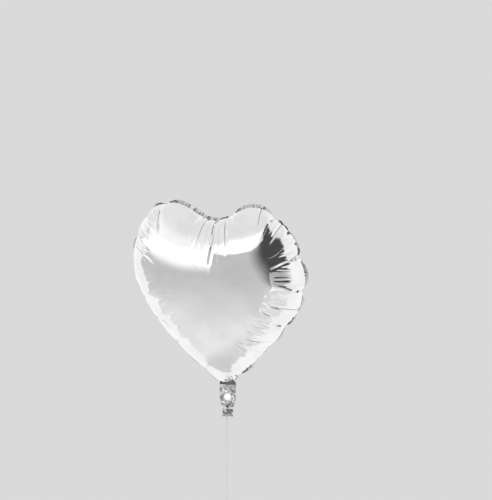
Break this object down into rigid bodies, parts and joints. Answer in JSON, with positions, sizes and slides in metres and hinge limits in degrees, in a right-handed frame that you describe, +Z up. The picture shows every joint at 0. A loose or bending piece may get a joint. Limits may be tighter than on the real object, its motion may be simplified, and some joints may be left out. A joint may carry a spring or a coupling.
{
  "type": "heart-shaped foil balloon",
  "caption": "Inflated heart-shaped foil balloon with a welded rim, a self-closing valve tail and a tied curling ribbon that ends in a hand loop.",
  "frame": {"origin": "the neck, where the point of the heart meets its filling tail, in the middle of the film", "axes": "+Z up the balloon from the neck, +X to the right seen from the front, and the front faces -Y"},
  "size_m": [0.3698, 0.2112, 0.7086],
  "materials": {
    "foil": "bright metallised film",
    "valve_film": "milky clear film",
    "ribbon": "satin curling ribbon"
  },
  "bodies": {
    "balloon": {"front_panel": "foil", "back_panel": "foil", "neck_valve_front": "valve_film", "neck_valve_back": "valve_film"},
    "tail": {"tail_front_foil": "foil", "tail_back_foil": "foil", "tail_valve_front": "valve_film", "tail_valve_back": "valve_film", "tail_rolled_end": "foil", "ribbon_tie": "ribbon", "ribbon_knot": "ribbon", "ribbon_drop": "ribbon"},
    "ribbon_lead": {"ribbon_lead": "ribbon"},
    "ribbon": {"ribbon": "ribbon", "end_knot": "ribbon"},
    "hand_loop": {"hand_loop": "ribbon"}
  },
  "joints": [
    {"name": "tail_fold", "type": "hinge", "parent": "balloon", "child": "tail", "pos_m": [0, 0, 0], "axis": [1, 0, 0], "range_deg": [-70, 70]},
    {"name": "ribbon_fore_aft", "type": "hinge", "parent": "tail", "child": "ribbon_lead", "pos_m": [-0.003, 0.00345, -0.0709], "axis": [1, 0, 0], "range_deg": [-60, 60]},
    {"name": "ribbon_sideways", "type": "hinge", "parent": "ribbon_lead", "child": "ribbon", "pos_m": [-0.003, 0.00345, -0.077], "axis": [0, 1, 0], "range_deg": [-60, 60]},
    {"name": "loop_swing", "type": "hinge", "parent": "ribbon", "child": "hand_loop", "pos_m": [-0.003, 0.00345, -0.266], "axis": [1, 0, 0], "range_deg": [-60, 60]}
  ]
}
